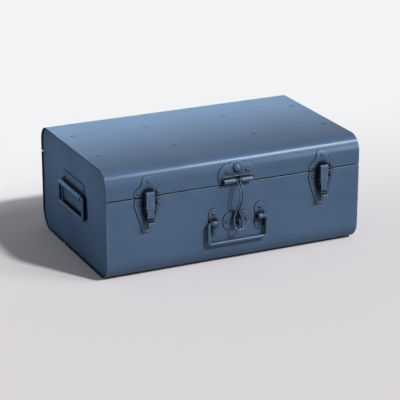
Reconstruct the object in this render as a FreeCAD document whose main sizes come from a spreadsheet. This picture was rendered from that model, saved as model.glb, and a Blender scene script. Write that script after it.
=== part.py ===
import FreeCAD, Part
import math
import os
import Sketcher

# Driving sizes in millimetres
SIZES = {
    # case
    "case_length": 500.0,
    "case_depth": 320.0,
    "case_height": 202.0,
    "lid_height": 53.0,
    "seam_gap": 1.0,
    "sheet": 1.0,
    "top_round": 30.0,
    "bottom_round": 35.0,
    "rim_round": 0.6,
    "rim_shoulder": 1.6,
    "hem_thick": 2.6,
    "hem_drop": 6.0,
    "lip_thick": 1.0,
    "lip_rise": 4.5,
    # flanged end panels
    "panel_inset": 2.6,
    "panel_flange": 12.0,
    "panel_round": 2.0,
    "panel_seam_gap": 0.35,
    "panel_fit": 0.1,
    "panel_jog_run": 8.0,
    "panel_jog_round": 8.0,
    "lid_flange_clear": 0.6,
    # lid stiffeners and their pressed spots
    "stiffener_y": 62.0,
    "stiffener_end_gap": 15.0,
    "stiffener_flange": 26.0,
    "stiffener_leg": 12.0,
    "stiffener_bend": 2.0,
    "spot_inner_x": 80.0,
    "spot_end_in": 24.0,
    "spot_ball": 14.0,
    "spot_depth": 1.0,
    "spot_boss": 5.6,
    "spot_boss_drop": 0.7,
    # rivets
    "rivet_head": 3.2,
    "rivet_rise": 2.0,
    "rivet_shank": 1.7,
    "rivet_tail": 2.8,
    "rivet_tail_rise": 1.0,
    "hole_clear": 0.1,
    "plate": 1.4,
    # rear hinges
    "hinge_end_in": 100.0,
    "hinge_width": 60.0,
    "hinge_leaf_rise": 21.0,
    "hinge_leaf": 1.5,
    "hinge_leaf_corner": 4.0,
    "hinge_pin": 2.0,
    "hinge_barrel": 3.6,
    "hinge_stand": 0.3,
    "hinge_mid_knuckle": 24.0,
    "hinge_rivet_x": 21.0,
    "hinge_rivet_rise": 13.5,
    "knuckle_gap": 0.4,
    "pin_clear": 0.05,
    "pin_head": 3.0,
    "pin_head_thick": 1.0,
    # draw latches
    "latch_end_in": 78.3,
    "keeper_rise": 38.0,
    "keeper_top_half": 9.5,
    "keeper_top_round": 8.5,
    "keeper_waist_half": 11.5,
    "keeper_waist_rise": 24.0,
    "keeper_waist_round": 15.0,
    "keeper_half": 26.0,
    "keeper_shoulder_rise": 11.0,
    "keeper_edge_rise": 1.2,
    "latch_lobe_round": 6.0,
    "latch_rivet_x": 18.0,
    "keeper_rivet_rise": 8.3,
    "keeper_top_rivet_rise": 29.4,
    "ledge_half": 4.6,
    "ledge_rise": 5.6,
    "ledge_reach": 6.7,
    "base_edge_drop": 0.8,
    "base_shoulder_drop": 14.0,
    "base_shoulder_round": 10.0,
    "base_foot_half": 10.0,
    "base_foot_drop": 64.0,
    "base_foot_round": 8.0,
    "base_rivet_drop": 10.8,
    "base_foot_rivet_drop": 55.5,
    "ear_half": 4.3,
    "ear_round": 2.2,
    "latch_metal": 1.2,
    "latch_front": 12.0,
    "latch_pivot_out": 8.2,
    "latch_pivot_drop": 4.6,
    "latch_throw": 11.0,
    "latch_pin": 1.4,
    "latch_pin_head": 2.2,
    "latch_pin_head_thick": 0.6,
    "latch_side_gap": 0.3,
    "lever_half": 5.9,
    "lever_top_drop": 3.0,
    "lever_flange_back": 4.4,
    "lever_bend_drop": 36.5,
    "lever_tuck_drop": 40.0,
    "lever_tuck": 3.0,
    "lever_lip_drop": 43.5,
    "lever_lip": 5.6,
    "lever_end_drop": 48.5,
    "lever_bend_round": 2.2,
    "lever_flange_drop": 34.0,
    "crease_high": 1.2,
    "crease_deep": 0.45,
    "lip_end_round": 7.8,
    "link_back": 1.9,
    "link_rise": 11.6,
    "link_curl": 7.0,
    "link_drop": 30.5,
    "link_front_drop": 20.0,
    "link_foot_out": 7.0,
    "link_splay": 3.2,
    "link_web_drop": 2.1,
    "link_top_round": 3.5,
    "link_foot_round": 2.5,
    # hasp
    "hasp_half": 36.5,
    "hasp_edge_rise": 1.6,
    "hasp_foot_round": 11.0,
    "hasp_shoulder_rise": 37.5,
    "hasp_shoulder_round": 20.0,
    "hasp_bump_half": 13.0,
    "hasp_bump_top_half": 9.5,
    "hasp_bump_rise": 41.0,
    "hasp_bump_round": 3.0,
    "hasp_rivet_x": 20.0,
    "hasp_rivet_rise": 24.0,
    "hasp_dome": 8.2,
    "hasp_dome_rise": 5.5,
    "hasp_dome_z": 29.5,
    "hasp_axis_out": 5.4,
    "hasp_axis_rise": 7.4,
    "hasp_barrel": 4.5,
    "hasp_barrel_half": 28.0,
    "hasp_gap_half": 5.2,
    "hasp_notch_rise": 13.0,
    "hasp_fold_half": 31.0,
    "hasp_fold_rise": 15.6,
    "hasp_fold_thick": 1.2,
    "hasp_fold_round": 0.9,
    "hasp_pin": 1.7,
    "wire": 1.5,
    "wire_eye_clear": 0.1,
    "strand_half": 2.7,
    "bow_reach": 20.4,
    "bow_start_drop": 4.0,
    "bow_out_drop": 13.0,
    "bow_back_drop": 32.5,
    "cross_out": 4.6,
    "cross_drop": 59.0,
    "eye_half": 7.6,
    "eye_top_out": 5.6,
    "eye_top_drop": 69.5,
    "eye_low_out": 10.0,
    "eye_low_drop": 84.5,
    "eye_tip_drop": 90.2,
    "eye_tip_out": 15.8,
    "bow_start_bend": 6.0,
    "bow_top_bend": 15.0,
    "bow_low_bend": 28.0,
    "cross_bend": 12.0,
    "eye_bend": 8.0,
    "eye_tip_bend": 5.0,
    # staple
    "staple_plate_half": 26.5,
    "staple_plate_high": 34.0,
    "staple_plate_round": 15.0,
    "staple_drop": 69.0,
    "staple_rivet_x": 20.0,
    "staple_wire": 1.2,
    "staple_reach": 15.0,
    "staple_half": 5.0,
    "staple_bend": 3.0,
    # front bail handle
    "bracket_x": 46.0,
    "bracket_half": 9.0,
    "bracket_high": 51.0,
    "bracket_round": 8.8,
    "bracket_rivet_rise": 17.0,
    "bracket_strap_half": 6.5,
    "strap_groove": 4.3,
    "strap_barrel": 4.9,
    "strap_barrel_half": 2.9,
    "strap_rib": 1.3,
    "strap_rib_reach": 4.0,
    "handle_axis_out": 6.4,
    "handle_tube": 4.8,
    "handle_saddle": 3.6,
    "rod": 3.1,
    "rod_clear": 0.08,
    "front_bail_half": 57.5,
    "front_bail_drop": 39.0,
    "bail_bend": 6.0,
    "bail_shoulder": 4.5,
    # end bail handles
    "end_plate_half": 54.0,
    "end_plate_round": 12.0,
    "end_plate_foot_round": 6.0,
    "end_plate_top_drop": 2.5,
    "end_plate_high": 62.0,
    "end_rivet_y": 43.0,
    "end_rivet_rise": 13.0,
    "end_rivet_drop": 26.0,
    "end_axis_drop": 25.5,
    "end_tube_half": 52.0,
    "end_bail_half": 58.5,
    "end_bail_drop": 39.0,
    "end_bail_in": 20.0,
    # overrun of every cut
    "overrun": 2.0,
}

doc = FreeCAD.newDocument("metal_trunk")
sheet = doc.addObject("Spreadsheet::Sheet", "Sizes")
for row, (alias, number) in enumerate(SIZES.items(), start=1):
    sheet.set(f"A{row}", alias)
    sheet.set(f"B{row}", str(number))
    sheet.setAlias(f"B{row}", alias)
doc.recompute()


class Size:
    """A length with its value now and the sheet expression that drives it."""

    def __init__(self, value, text):
        self.value = value
        self.text = text

    def __add__(self, other):
        return Size(self.value + other.value, f"({self.text} + {other.text})")

    def __sub__(self, other):
        return Size(self.value - other.value, f"({self.text} - {other.text})")

    def __mul__(self, factor):
        return Size(self.value * factor, f"({self.text} * {factor})")

    def __truediv__(self, factor):
        return Size(self.value / factor, f"({self.text} / {factor})")

    def __neg__(self):
        return self * -1


class Sheet:
    """Reads each named size of the sheet."""

    def __getattr__(self, alias):
        return Size(float(sheet.get(alias)), f"Sizes.{alias}")


mm = Sheet()
ZERO = mm.sheet * 0
HALF_LENGTH = mm.case_length / 2
HALF_DEPTH = mm.case_depth / 2
SEAM = mm.case_height - mm.lid_height
LID_EDGE = SEAM + mm.seam_gap
FACE = -HALF_DEPTH
LOBE_FOOT_SHARE = 0.6
BUMP_FOOT_SHARE = 0.5
EAR_ROUND_SHARE = 0.9
HANDLE_RISE_SHARE = 0.4123
HOOK_HEAD_SHARE = 0.5
TOLERANCE = 1e-6
nodes = {}


# Building blocks

def bind(thing, **sizes):
    for name, size in sizes.items():
        thing.setExpression(name, size.text)
    return thing


def place(thing, across=ZERO, back=ZERO, up=ZERO, turn=None):
    """Puts an object at a point of the sheet, turned about an axis by whole degrees."""
    if turn:
        thing.Placement = FreeCAD.Placement(FreeCAD.Vector(), FreeCAD.Rotation(*turn))
    thing.setExpression("Placement.Base.x", across.text)
    thing.setExpression("Placement.Base.y", back.text)
    thing.setExpression("Placement.Base.z", up.text)
    return thing


def node(thing, label):
    """Names a finished sub-part."""
    thing.Label = label
    nodes[label] = thing
    return thing


def body_named(name):
    return doc.addObject("PartDesign::Body", name)


def sketch_on(body, plane, name, lift=None):
    """An empty sketch on one of the body's own planes, lifted along its normal."""
    sketch = body.newObject("Sketcher::SketchObject", name)
    support = [item for item in body.Origin.OriginFeatures if item.Role == plane][0]
    sketch.AttachmentSupport = [(support, "")]
    sketch.MapMode = "FlatFace"
    if lift is not None:
        sketch.setExpression("AttachmentOffset.Base.z", lift.text)
    return sketch


def pin_point(sketch, geometry, end, across, up):
    """Ties a point of the sketch to its two sizes."""
    for kind, size in (("DistanceX", across), ("DistanceY", up)):
        index = sketch.addConstraint(Sketcher.Constraint(kind, -1, 1, geometry, end, size.value))
        sketch.setExpression(f"Constraints[{index}]", size.text)


def tie_radius(sketch, geometry, radius):
    index = sketch.addConstraint(Sketcher.Constraint("Radius", geometry, radius.value))
    sketch.setExpression(f"Constraints[{index}]", radius.text)


def corner_arc(before, corner, after, radius):
    """The points where a corner's arc leaves its two lines, its middle and its turn."""
    first = (before - corner).normalize()
    second = (after - corner).normalize()
    half = first.getAngle(second) / 2
    reach = radius / math.tan(half)
    middle = (first + second).normalize()
    centre = corner + middle * (radius / math.sin(half))
    turn = first.cross(second).z
    return corner + first * reach, corner + second * reach, centre, turn


def trace(sketch, corners, closed=True):
    """Draws lines through corners of (across, up, radius or None), with an arc at each radius."""
    count = len(corners)
    points = [FreeCAD.Vector(across.value, up.value, 0) for across, up, radius in corners]
    leaves, enters, arcs = list(points), list(points), {}
    for i, (across, up, radius) in enumerate(corners):
        if radius is None:
            continue
        before, after = points[i - 1], points[(i + 1) % count]
        enters[i], leaves[i], centre, turn = corner_arc(before, points[i], after, radius.value)
        circle = Part.Circle(centre, FreeCAD.Vector(0, 0, 1), radius.value)
        ends = (enters[i], leaves[i]) if turn < 0 else (leaves[i], enters[i])
        angles = [math.atan2(end.y - centre.y, end.x - centre.x) for end in ends]
        arc = Part.ArcOfCircle(circle, angles[0], angles[1])
        order = (1, 2) if turn < 0 else (2, 1)
        arcs[i] = (sketch.addGeometry(arc, False), *order)
    last = count if closed else count - 1
    lines = []
    for i in range(last):
        segment = Part.LineSegment(leaves[i], enters[(i + 1) % count])
        lines.append(sketch.addGeometry(segment, False))
    for i, (across, up, radius) in enumerate(corners):
        if not closed and i == 0:
            pin_point(sketch, lines[0], 1, across, up)
            continue
        if not closed and i == count - 1:
            pin_point(sketch, lines[-1], 2, across, up)
            continue
        before, after = lines[i - 1], lines[i]
        if radius is None:
            sketch.addConstraint(Sketcher.Constraint("Coincident", before, 2, after, 1))
            pin_point(sketch, after, 1, across, up)
            continue
        arc, start, stop = arcs[i]
        sketch.addConstraint(Sketcher.Constraint("Tangent", before, 2, arc, start))
        sketch.addConstraint(Sketcher.Constraint("Tangent", arc, stop, after, 1))
        tie_radius(sketch, arc, radius)
        apex = sketch.addGeometry(Part.Point(points[i]), True)
        sketch.addConstraint(Sketcher.Constraint("PointOnObject", apex, 1, before))
        sketch.addConstraint(Sketcher.Constraint("PointOnObject", apex, 1, after))
        pin_point(sketch, apex, 1, across, up)
    return sketch


def ring(sketch, across, up, radius):
    """Draws a circle tied to its centre and radius."""
    centre = FreeCAD.Vector(across.value, up.value, 0)
    circle = Part.Circle(centre, FreeCAD.Vector(0, 0, 1), radius.value)
    index = sketch.addGeometry(circle, False)
    pin_point(sketch, index, 3, across, up)
    tie_radius(sketch, index, radius)
    return sketch


def pad(body, sketch, length, middle=False, back=False):
    feature = body.newObject("PartDesign::Pad", f"{body.Name}_pad")
    feature.Profile = sketch
    if middle:
        feature.SideType = "Symmetric"
    feature.Reversed = back
    bind(feature, Length=length)
    return feature


def pocket(body, sketch, length, middle=False, back=False):
    feature = body.newObject("PartDesign::Pocket", f"{body.Name}_pocket")
    feature.Profile = sketch
    if middle:
        feature.SideType = "Symmetric"
    feature.Reversed = back
    bind(feature, Length=length)
    return feature


def pipe(body, path, profile):
    feature = body.newObject("PartDesign::AdditivePipe", f"{body.Name}_pipe")
    feature.Profile = profile
    feature.Spine = (path, [])
    return feature


def mirrored(corners):
    """Both halves of an outline whose right half is given from the top to the bottom."""
    left = [(-across, up, radius) for across, up, radius in reversed(corners)]
    return corners + left


def box(name, across, back, up, long, deep, high):
    thing = doc.addObject("Part::Box", name)
    bind(thing, Length=long, Width=deep, Height=high)
    return place(thing, across, back, up)


def rod_along_x(name, radius, start, back, up, long):
    """A cylinder along X from its left end."""
    thing = doc.addObject("Part::Cylinder", name)
    bind(thing, Radius=radius, Height=long)
    return place(thing, start, back, up, (FreeCAD.Vector(0, 1, 0), 90))


def cut(name, base, tool):
    thing = doc.addObject("Part::Cut", name)
    thing.Base = base
    thing.Tool = tool
    return thing


def common(name, base, tool):
    thing = doc.addObject("Part::Common", name)
    thing.Base = base
    thing.Tool = tool
    return thing


def fuse(name, shapes):
    thing = doc.addObject("Part::MultiFuse", name)
    thing.Shapes = shapes
    thing.Refine = True
    return thing


def made(name, shape):
    """An object whose shape is made in code from sizes of the sheet."""
    thing = doc.addObject("Part::Feature", name)
    thing.Shape = shape
    thing.Placement = FreeCAD.Placement()
    return thing


# Rivets

def front_spot(across, up, proud):
    """A point that far proud of the case's front, with the direction out of the lid's rounding."""
    turn_z = (mm.case_height - mm.top_round).value
    rise = up.value - turn_z
    if rise <= 0:
        place_at = FreeCAD.Vector(across.value, (FACE - proud).value, up.value)
        return place_at, FreeCAD.Vector(0, -1, 0)
    angle = math.asin(rise / (mm.top_round + proud).value)
    out = FreeCAD.Vector(0, -math.cos(angle), math.sin(angle))
    centre = FreeCAD.Vector(across.value, (FACE + mm.top_round).value, turn_z)
    return centre + out * (mm.top_round + proud).value, out


def back_spot(across, up, proud):
    place_at = FreeCAD.Vector(across.value, (HALF_DEPTH + proud).value, up.value)
    return place_at, FreeCAD.Vector(0, 1, 0)


def end_spot(side, back, up, proud):
    """A point on an end panel, with the direction out of it."""
    face = (HALF_LENGTH - mm.panel_inset + proud).value
    return FreeCAD.Vector(side * face, back.value, up.value), FreeCAD.Vector(side, 0, 0)


def turned_to(shape, spot):
    """A shape built along +Z, moved to a spot and turned to its direction."""
    point, out = spot
    turn = FreeCAD.Rotation(FreeCAD.Vector(0, 0, 1), out)
    return shape.transformed(FreeCAD.Placement(point, turn).toMatrix())


def domed_profile(head, rise, shank, grip, tail, tail_rise):
    """Half section of a domed rivet in the XZ plane, with its seat at height zero."""
    ball = (head * head + rise * rise) / (2 * rise)
    lean = math.asin(head / ball) / 2
    dome = ball * math.sin(lean), rise - ball + ball * math.cos(lean)
    line = [(head, 0), (shank, 0), (shank, -grip), (tail, -grip), (tail, -grip - tail_rise)]
    line += [(0, -grip - tail_rise), (0, rise)]
    points = [FreeCAD.Vector(across, 0, up) for across, up in line]
    top, brim = points[-1], points[0]
    edges = [Part.Arc(top, FreeCAD.Vector(dome[0], 0, dome[1]), brim).toShape()]
    edges += [Part.makeLine(a, b) for a, b in zip(points, points[1:])]
    return Part.Face(Part.Wire(edges))


def rivet_shape(grip, head=mm.rivet_head, rise=mm.rivet_rise, sag=0):
    face = domed_profile(
        head.value,
        rise.value,
        mm.rivet_shank.value,
        grip.value + sag,
        mm.rivet_tail.value,
        mm.rivet_tail_rise.value,
    )
    return face.revolve(FreeCAD.Vector(0, 0, 0), FreeCAD.Vector(0, 0, 1), 360)


def rivets(label, spots, grip, **form):
    """One node of separate rivets, each seated on its plate."""
    shape = rivet_shape(grip, **form)
    return node(made(label, Part.makeCompound([turned_to(shape, spot) for spot in spots])), label)


def drilled(name, base, spots, grip):
    """The base with a clear hole for each rivet's shank."""
    radius = (mm.rivet_shank + mm.hole_clear).value
    start = FreeCAD.Vector(0, 0, -(grip + mm.overrun).value)
    drill = Part.makeCylinder(radius, (grip + mm.overrun * 2).value, start)
    tool = made(f"{name}_drills", Part.makeCompound([turned_to(drill, spot) for spot in spots]))
    return cut(name, base, tool)


# Places of every rivet

GRIP = mm.plate + mm.sheet
LID_BEND = (mm.top_round - mm.sheet).value
TAIL_SAG = LID_BEND - math.sqrt(LID_BEND ** 2 - mm.rivet_tail.value ** 2)
HINGE_GRIP = mm.hinge_leaf + mm.sheet
SIDES = (("left", -1), ("right", 1))
PIVOT_Z = SEAM - mm.latch_pivot_drop
HINGE_Z = SEAM + mm.seam_gap / 2
HINGE_Y = HALF_DEPTH + mm.hinge_barrel + mm.hinge_stand
HANDLE_Z = mm.bottom_round + (SEAM - mm.bottom_round) * HANDLE_RISE_SHARE
LATCH_X = HALF_LENGTH - mm.latch_end_in
HINGE_X = HALF_LENGTH - mm.hinge_end_in
SPOTS_X = (mm.spot_inner_x, HALF_LENGTH - mm.spot_end_in)
END_AXIS_Z = SEAM - mm.end_axis_drop
STAPLE_Z = SEAM - mm.staple_drop

keeper_spots = []
base_spots = []
hinge_lid_spots = []
hinge_body_spots = []
bracket_spots = []
end_spots = {"left": [], "right": []}
for side_name, side in SIDES:
    latch_x = LATCH_X * side
    for reach in (-1, 1):
        rivet_x = latch_x + mm.latch_rivet_x * reach
        keeper_spots.append(front_spot(rivet_x, SEAM + mm.keeper_rivet_rise, mm.plate))
        base_spots.append(front_spot(rivet_x, SEAM - mm.base_rivet_drop, mm.plate))
        bracket_z = HANDLE_Z + mm.bracket_rivet_rise * reach
        bracket_spots.append(front_spot(mm.bracket_x * side, bracket_z, mm.plate))
        for rise in (mm.end_rivet_rise, -mm.end_rivet_drop):
            spot = end_spot(side, mm.end_rivet_y * reach, END_AXIS_Z + rise, mm.plate)
            end_spots[side_name].append(spot)
    keeper_spots.append(front_spot(latch_x, SEAM + mm.keeper_top_rivet_rise, mm.plate))
    base_spots.append(front_spot(latch_x, SEAM - mm.base_foot_rivet_drop, mm.plate))
    for reach in (-1, 0, 1):
        rivet_x = HINGE_X * side + mm.hinge_rivet_x * reach
        up, down = HINGE_Z + mm.hinge_rivet_rise, HINGE_Z - mm.hinge_rivet_rise
        hinge_lid_spots.append(back_spot(rivet_x, up, mm.hinge_leaf))
        hinge_body_spots.append(back_spot(rivet_x, down, mm.hinge_leaf))
hasp_spots = [
    front_spot(mm.hasp_rivet_x * reach, SEAM + mm.hasp_rivet_rise, mm.plate) for reach in (-1, 1)
]
dome_spots = [front_spot(ZERO, SEAM + mm.hasp_dome_z, mm.plate)]
staple_spots = [front_spot(mm.staple_rivet_x * reach, STAPLE_Z, mm.plate) for reach in (-1, 1)]


# Case

def wrapper_sketch(body, fold, bend, inward, rim):
    """Section of one bent sheet: the fold that joins two walls, each ending in the same rim."""
    outer, inner = HALF_DEPTH, HALF_DEPTH - mm.sheet
    deep = fold + mm.sheet * inward
    corners = [(-outer, fold, bend), (outer, fold, bend)]
    corners += rim
    corners += [(inner, deep, bend - mm.sheet), (-inner, deep, bend - mm.sheet)]
    corners += [(-across, up, radius) for across, up, radius in reversed(rim)]
    return trace(sketch_on(body, "YZ_Plane", f"{body.Name}_section"), corners)


def body_wrapper():
    """The lower sheet, its rim rolled inward over a rounded shoulder."""
    body = body_named("body_sheet")
    rolled, foot = HALF_DEPTH - mm.hem_thick, SEAM - mm.hem_drop
    rim = [
        (HALF_DEPTH, SEAM, mm.rim_shoulder),
        (rolled, SEAM, mm.rim_round),
        (rolled, foot, None),
        (HALF_DEPTH - mm.sheet, foot, None),
    ]
    section = wrapper_sketch(body, ZERO, mm.bottom_round, 1, rim)
    pad(body, section, mm.case_length, middle=True)
    spots = base_spots + bracket_spots + staple_spots
    front = drilled("body_front_drilled", body, spots, GRIP)
    return node(drilled("body_shell", front, hinge_body_spots, HINGE_GRIP), "body_wrapper")


def lid_wrapper():
    body = body_named("lid_sheet")
    top = mm.case_height
    rim = [(HALF_DEPTH, LID_EDGE, mm.rim_round), (HALF_DEPTH - mm.sheet, LID_EDGE, None)]
    pad(body, wrapper_sketch(body, top, mm.top_round, -1, rim), mm.case_length, middle=True)
    bosses, balls = [], []
    for i, (across, back) in enumerate(spot_places()):
        boss = doc.addObject("Part::Cylinder", f"spot_boss_{i}")
        bind(boss, Radius=mm.spot_boss, Height=mm.spot_boss_drop + mm.sheet / 2)
        bosses.append(place(boss, across, back, top - mm.sheet - mm.spot_boss_drop))
        ball = doc.addObject("Part::Sphere", f"spot_ball_{i}")
        bind(ball, Radius=mm.spot_ball)
        balls.append(place(ball, across, back, top + mm.spot_ball - mm.spot_depth))
    dished = cut("lid_dished", fuse("lid_bossed", [body] + bosses), fuse("spot_balls", balls))
    front = drilled("lid_front_drilled", dished, keeper_spots + hasp_spots + dome_spots, GRIP)
    return node(drilled("lid_shell", front, hinge_lid_spots, HINGE_GRIP), "lid_wrapper")


def spot_places():
    """Where the lid's top is pressed down onto its two stiffeners."""
    return [
        (across * side, mm.stiffener_y * row)
        for row in (-1, 1)
        for across in SPOTS_X
        for side in (-1, 1)
    ]


def lid_stiffener(label, row):
    """An angle strip under the lid's top, pierced for the pressed spots."""
    body = body_named(f"{label}_angle")
    top = mm.case_height - mm.sheet
    half = mm.stiffener_flange / 2
    corners = [
        (-half, top, None),
        (-half, top - mm.sheet, None),
        (half - mm.sheet, top - mm.sheet, mm.stiffener_bend - mm.sheet),
        (half - mm.sheet, top - mm.stiffener_leg, None),
        (half, top - mm.stiffener_leg, None),
        (half, top, mm.stiffener_bend),
    ]
    section = trace(sketch_on(body, "YZ_Plane", f"{label}_section"), corners)
    pad(body, section, mm.case_length - mm.stiffener_end_gap * 2, middle=True)
    holes = sketch_on(body, "XY_Plane", f"{label}_holes", top + mm.overrun)
    for across in SPOTS_X:
        for side in (-1, 1):
            ring(holes, across * side, ZERO, mm.spot_boss + mm.hole_clear)
    pocket(body, holes, mm.sheet + mm.overrun * 2)
    place(body, back=mm.stiffener_y * row)
    return node(body, label)


def end_panel(label, side, rim, far, far_round, flange):
    """A flanged end pan, its face set in from the wrapper's edge and sharp along the seam."""
    body = body_named(f"{label}_pan")
    seam = rim[0][1]
    half = rim[-1][0]
    corners = rim + [(half, far, far_round), (-half, far, far_round)]
    corners += [(-across, up, radius) for across, up, radius in reversed(rim)]
    outline = trace(sketch_on(body, "YZ_Plane", f"{label}_outline"), corners)
    block = pad(body, outline, flange)
    doc.recompute()
    rim = body.newObject("PartDesign::Fillet", f"{label}_rim")
    rim.Base = (block, face_edges(block, flange.value, seam.value))
    bind(rim, Radius=mm.panel_round)
    doc.recompute()
    hollow = body.newObject("PartDesign::Thickness", f"{label}_hollow")
    hollow.Base = (rim, [flat_face(rim, 0)])
    hollow.Reversed = True
    bind(hollow, Value=mm.sheet)
    inner = HALF_LENGTH - mm.panel_inset - flange
    turn = (FreeCAD.Vector(0, 0, 1), 0 if side > 0 else 180)
    place(body, inner * side, ZERO, ZERO, turn)
    return body


def flat_face(feature, at):
    """The name of the flat face across X at that place."""
    for i, face in enumerate(feature.Shape.Faces, start=1):
        if face.BoundBox.XLength < TOLERANCE and abs(face.BoundBox.XMin - at) < TOLERANCE:
            return f"Face{i}"
    raise ValueError(f"no face of {feature.Name} there")


def face_edges(feature, at, seam):
    """The names of the edges in the plane across X at that place, apart from the seam's own."""
    names = []
    for i, edge in enumerate(feature.Shape.Edges, start=1):
        spread = edge.BoundBox
        in_plane = spread.XLength < TOLERANCE and abs(spread.XMin - at) < TOLERANCE
        on_seam = spread.ZLength < TOLERANCE and abs(spread.ZMin - seam) < TOLERANCE
        if in_plane and not on_seam:
            names.append(f"Edge{i}")
    return names


def end_panels():
    inset = mm.sheet + mm.panel_fit
    lid_flange = mm.panel_flange - mm.lid_flange_clear
    half, foot = HALF_DEPTH - inset, SEAM - mm.hem_drop - mm.panel_fit
    jogged = HALF_DEPTH - mm.hem_thick - mm.panel_fit
    body_rim = [
        (jogged, SEAM, None),
        (jogged, foot, mm.panel_jog_round),
        (half, foot - mm.panel_jog_run, mm.panel_jog_round),
    ]
    lid_rim = [(half, SEAM + mm.panel_seam_gap, None)]
    top = mm.case_height - inset
    for name, side in SIDES:
        label = f"body_end_{name}"
        pan = end_panel(label, side, body_rim, inset, mm.bottom_round - inset, mm.panel_flange)
        node(drilled(f"{label}_shell", pan, end_spots[name], GRIP), label)
        label = f"lid_end_{name}"
        node(end_panel(label, side, lid_rim, top, mm.top_round - inset, lid_flange), label)


def rim_lip():
    """Four upright strips inside the rim that the lid closes over."""
    across = HALF_LENGTH - mm.panel_inset - mm.panel_flange
    back = HALF_DEPTH - mm.hem_thick
    inside = back - mm.lip_thick
    low, high = SEAM - mm.hem_drop, mm.hem_drop + mm.lip_rise
    for name, start in (("front", -back), ("back", inside)):
        strip = box(f"lip_strip_{name}", -across, start, low, across * 2, mm.lip_thick, high)
        node(strip, f"rim_lip_{name}")
    for name, start in (("left", -across), ("right", across - mm.lip_thick)):
        strip = box(f"lip_strip_{name}", start, -inside, low, mm.lip_thick, inside * 2, high)
        node(strip, f"rim_lip_{name}")


# Rear hinges

def hinge_leaf(label, side, up, knuckles):
    """A leaf on the back wall with its share of the knuckles."""
    body = body_named(f"{label}_plate")
    half = mm.hinge_width / 2
    low = mm.hinge_barrel + mm.knuckle_gap
    corners = [
        (half, low * up, None),
        (half, mm.hinge_leaf_rise * up, mm.hinge_leaf_corner),
        (-half, mm.hinge_leaf_rise * up, mm.hinge_leaf_corner),
        (-half, low * up, None),
    ]
    pad(body, trace(sketch_on(body, "XZ_Plane", f"{label}_outline"), corners), mm.hinge_leaf, back=True)
    place(body, HINGE_X * side, HALF_DEPTH, HINGE_Z)
    pieces = [body]
    for i, (start, long) in enumerate(knuckles):
        left = HINGE_X * side + start
        foot = HINGE_Z if up > 0 else HINGE_Z - low
        pieces.append(box(f"{label}_web_{i}", left, HALF_DEPTH, foot, long, mm.hinge_leaf, low))
        pieces.append(rod_along_x(f"{label}_knuckle_{i}", mm.hinge_barrel, left, HINGE_Y, HINGE_Z, long))
    start = HINGE_X * side - half - mm.overrun
    long = mm.hinge_width + mm.overrun * 2
    bore = rod_along_x(f"{label}_bore", mm.hinge_pin + mm.pin_clear, start, HINGE_Y, HINGE_Z, long)
    return cut(f"{label}_bored", fuse(f"{label}_rolled", pieces), bore)


def hinges():
    half = mm.hinge_width / 2
    middle = mm.hinge_mid_knuckle / 2
    outer_long = half - middle - mm.knuckle_gap
    outer_pair = [(-half, outer_long), (middle + mm.knuckle_gap, outer_long)]
    for name, side in SIDES:
        label = f"hinge_body_leaf_{name}"
        leaf = hinge_leaf(label, side, -1, [(-middle, mm.hinge_mid_knuckle)])
        node(drilled(f"{label}_drilled", leaf, hinge_body_spots, HINGE_GRIP), label)
        label = f"hinge_lid_leaf_{name}"
        leaf = hinge_leaf(label, side, 1, outer_pair)
        node(drilled(f"{label}_drilled", leaf, hinge_lid_spots, HINGE_GRIP), label)
        start = HINGE_X * side - half - mm.knuckle_gap / 2
        long = mm.hinge_width + mm.knuckle_gap
        pin = rod_along_x(f"hinge_rod_{name}", mm.hinge_pin, start, HINGE_Y, HINGE_Z, long)
        heads = [
            rod_along_x(f"hinge_head_{name}_{i}", mm.pin_head, place_x, HINGE_Y, HINGE_Z, mm.pin_head_thick)
            for i, place_x in enumerate((start - mm.pin_head_thick, start + long))
        ]
        node(fuse(f"hinge_pin_{name}_whole", [pin] + heads), f"hinge_pin_{name}")
    rivets("hinge_lid_rivets", hinge_lid_spots, HINGE_GRIP)
    rivets("hinge_body_rivets", hinge_body_spots, HINGE_GRIP)


# Plates that follow the lid's front

def lid_skin():
    """A skin over the lid's front and its upper rounding, as thick as a plate."""
    body = body_named("lid_skin")
    top = mm.case_height
    deep = FACE + mm.top_round + mm.overrun
    corners = [
        (FACE - mm.plate, SEAM, None),
        (deep, SEAM, None),
        (deep, top + mm.plate, None),
        (FACE - mm.plate, top + mm.plate, mm.top_round + mm.plate),
    ]
    pad(body, trace(sketch_on(body, "YZ_Plane", "skin_outer"), corners), mm.case_length, middle=True)
    inside = [
        (FACE, SEAM - mm.overrun, None),
        (deep + mm.overrun, SEAM - mm.overrun, None),
        (deep + mm.overrun, top, None),
        (FACE, top, mm.top_round),
    ]
    hollow = trace(sketch_on(body, "YZ_Plane", "skin_inner"), inside)
    pocket(body, hollow, mm.case_length + mm.overrun, middle=True)
    return body


def front_plate(name, outline, thick, across=ZERO):
    """A flat plate on the case's front, outlined in heights above the floor."""
    body = body_named(name)
    pad(body, trace(sketch_on(body, "XZ_Plane", f"{name}_outline"), outline), thick)
    place(body, across, FACE)
    return body


def skin_plate(name, outline, skin, across=ZERO):
    """A plate of that outline bent over the lid's front."""
    body = body_named(f"{name}_blank")
    deep = mm.top_round + mm.plate
    pad(body, trace(sketch_on(body, "XZ_Plane", f"{name}_outline"), outline), deep, back=True)
    place(body, across, FACE - mm.plate)
    return common(name, body, skin)


# Draw latches

def keeper_outline():
    return mirrored([
        (mm.keeper_top_half, SEAM + mm.keeper_rise, mm.keeper_top_round),
        (mm.keeper_waist_half, SEAM + mm.keeper_waist_rise, mm.keeper_waist_round),
        (mm.keeper_half, SEAM + mm.keeper_shoulder_rise, mm.latch_lobe_round),
        (mm.keeper_half, LID_EDGE + mm.keeper_edge_rise, mm.latch_lobe_round * LOBE_FOOT_SHARE),
    ])


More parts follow.
